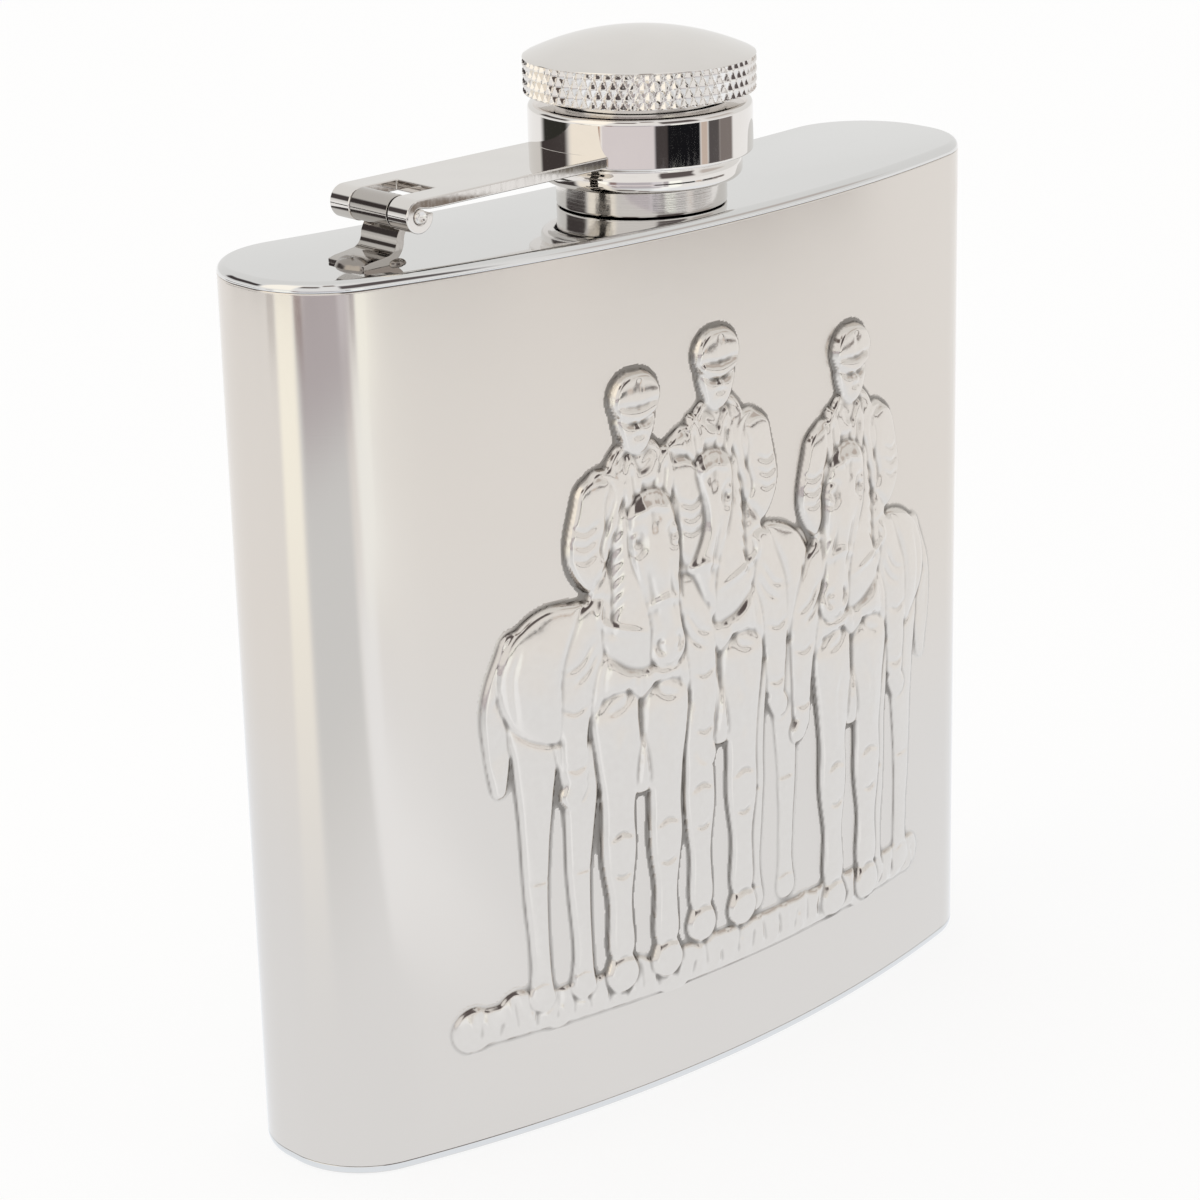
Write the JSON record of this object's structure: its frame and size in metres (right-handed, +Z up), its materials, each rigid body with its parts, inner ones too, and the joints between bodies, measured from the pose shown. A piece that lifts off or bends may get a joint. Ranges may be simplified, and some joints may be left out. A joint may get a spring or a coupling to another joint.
{
  "type": "hip flask",
  "caption": "Kidney-section steel hip flask with a raised horse racing badge and a knurled screw cap held captive by a hinged arm.",
  "frame": {"origin": "on the base plane, where the axis of the neck meets it", "axes": "+Z up along the neck, X along the flask's width with the cap's hinge at -X, -Y towards the front face that carries the badge"},
  "size_m": [0.095, 0.0273, 0.1108],
  "materials": {
    "satin_steel": "fine satin front and back, polished rounded sides",
    "polished_steel": "mirror polished",
    "badge_metal": "bright pressed relief, darkened in the hollows",
    "turned_steel": "turned, with fine rings",
    "hinge_steel": "bright polished",
    "cap_chrome": "bright polished, knurled grip",
    "seal_plastic": "soft white polyethylene"
  },
  "bodies": {
    "flask": {"body_sleeve": "satin_steel", "bottom_plate": "polished_steel", "top_plate": "polished_steel", "racing_badge": "badge_metal", "neck_tube": "turned_steel", "hinge_bracket": "hinge_steel"},
    "arm": {"cap_arm": "hinge_steel", "cap_band": "cap_chrome", "band_collar": "cap_chrome", "hinge_pin": "hinge_steel"},
    "seal": {"cap_seal": "seal_plastic"},
    "cap": {"cap_insert": "turned_steel", "cap_shell": "cap_chrome"}
  },
  "joints": [
    {"name": "arm_hinge", "type": "hinge", "parent": "flask", "child": "arm", "pos_m": [-0.034, 0, 0.098], "axis": [0, -1, 0], "range_deg": [0, 185]},
    {"name": "cap_lift", "type": "slide", "parent": "arm", "child": "seal", "axis": [0, 0, 1], "range_m": [0, 0.003]},
    {"name": "cap_turn", "type": "hinge", "parent": "seal", "child": "cap", "pos_m": [0, 0, 0.1], "axis": [0, 0, 1], "range_deg": [0, 720]}
  ],
  "couplings": [
    {"joint": "cap_lift", "follows": "cap_turn", "m_per_rad": 0.00023873}
  ]
}
